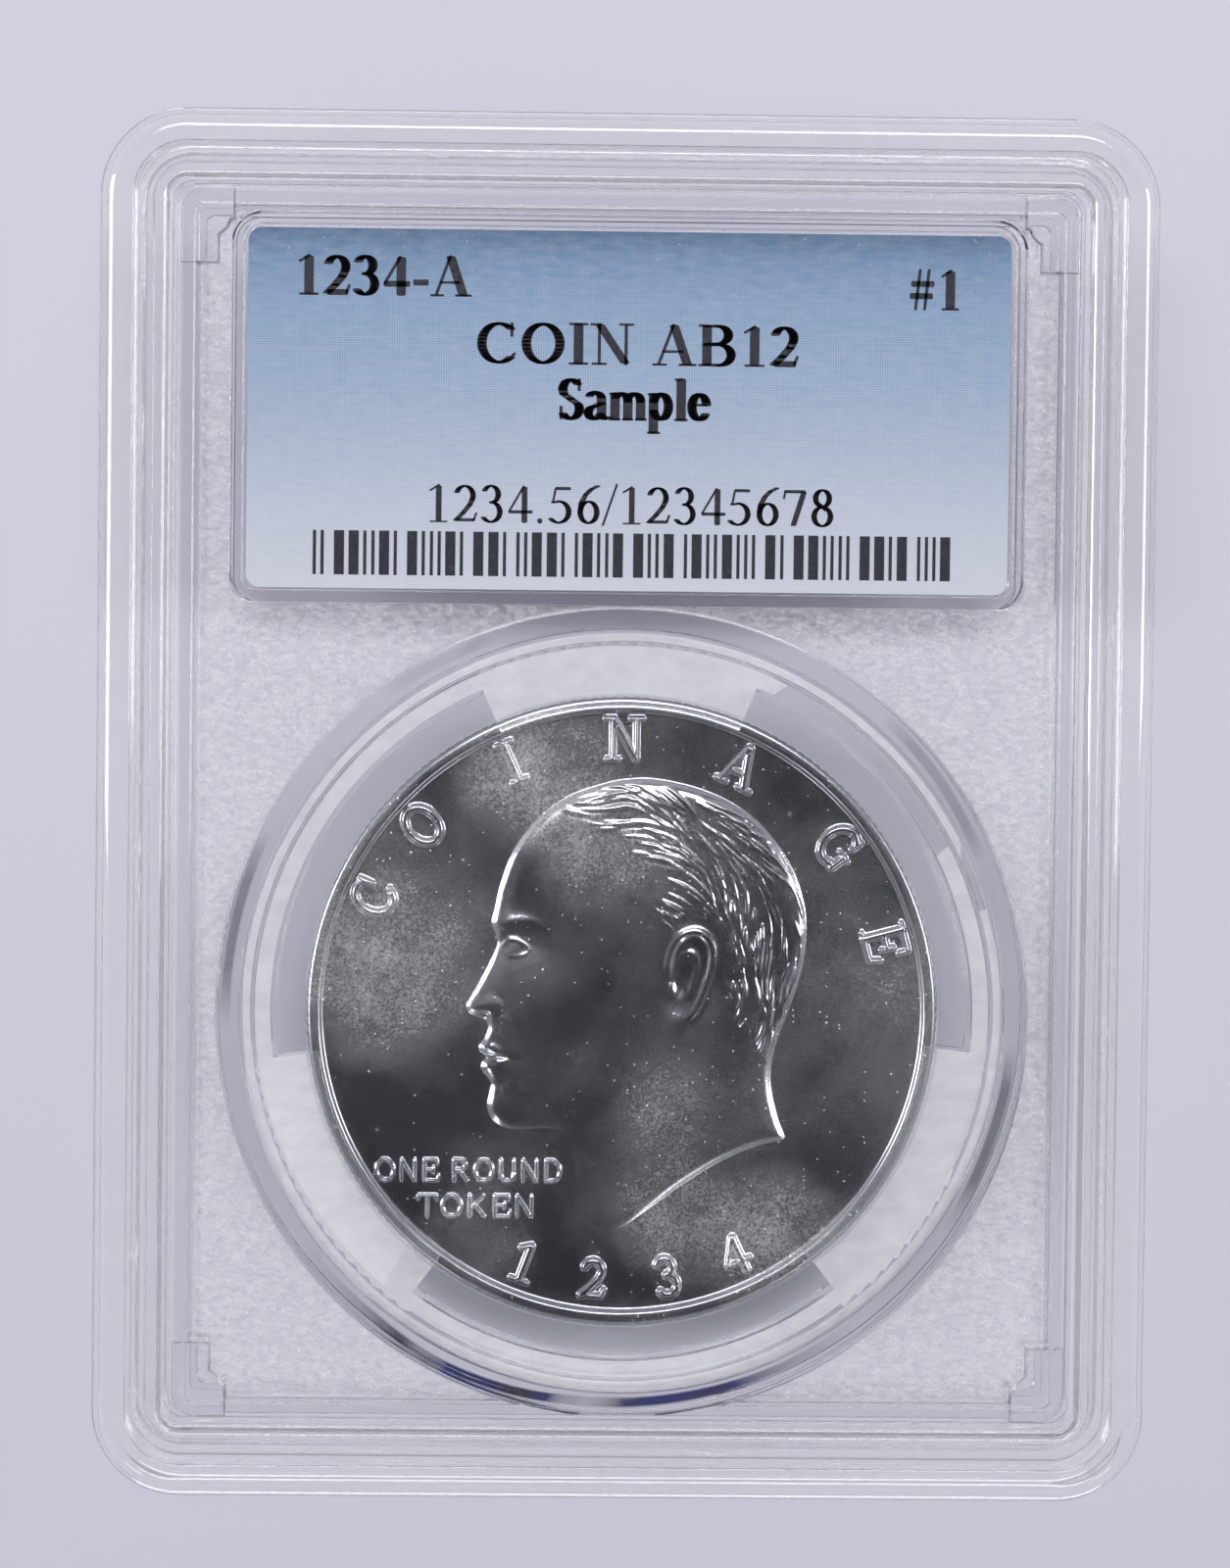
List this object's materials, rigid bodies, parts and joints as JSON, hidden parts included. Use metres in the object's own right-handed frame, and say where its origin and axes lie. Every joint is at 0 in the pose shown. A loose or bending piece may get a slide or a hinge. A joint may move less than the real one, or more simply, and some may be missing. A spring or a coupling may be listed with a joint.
{
  "type": "graded coin slab",
  "caption": "Flat clear sealed capsule that shows one large round coin, held at its edge by a clear gripping ring, under a printed paper label.",
  "frame": {"origin": "under the centre of the slab, on the plane of its rear foot", "axes": "the slab lies on its back: +Z out of the front window, +Y towards the label end, +X to the right when the label is read"},
  "size_m": [0.0636, 0.0834, 0.0094],
  "materials": {
    "front_shell": "clear polystyrene, polished windows, fine grained plate",
    "rear_shell": "clear polystyrene, polished windows, fine grained plate",
    "weld_bead": "remelted polystyrene, whitish and sparkling",
    "coin_ring": "clear elastomer, glossy",
    "coin": "struck nickel-grey metal, lustrous fields, satin relief",
    "label_card": "printed card, blue fading to pale lavender",
    "security_foil": "embossed foil"
  },
  "bodies": {
    "case": {"front_shell": "front_shell", "rear_shell": "rear_shell", "weld_bead": "weld_bead", "coin_ring": "coin_ring", "label_card": "label_card", "security_foil": "security_foil"},
    "coin_body": {"coin": "coin"}
  },
  "joints": [
    {"name": "coin_turn", "type": "hinge", "parent": "case", "child": "coin_body", "pos_m": [0, -0.0123, 0.0047], "axis": [0, 0, 1], "continuous": true}
  ]
}
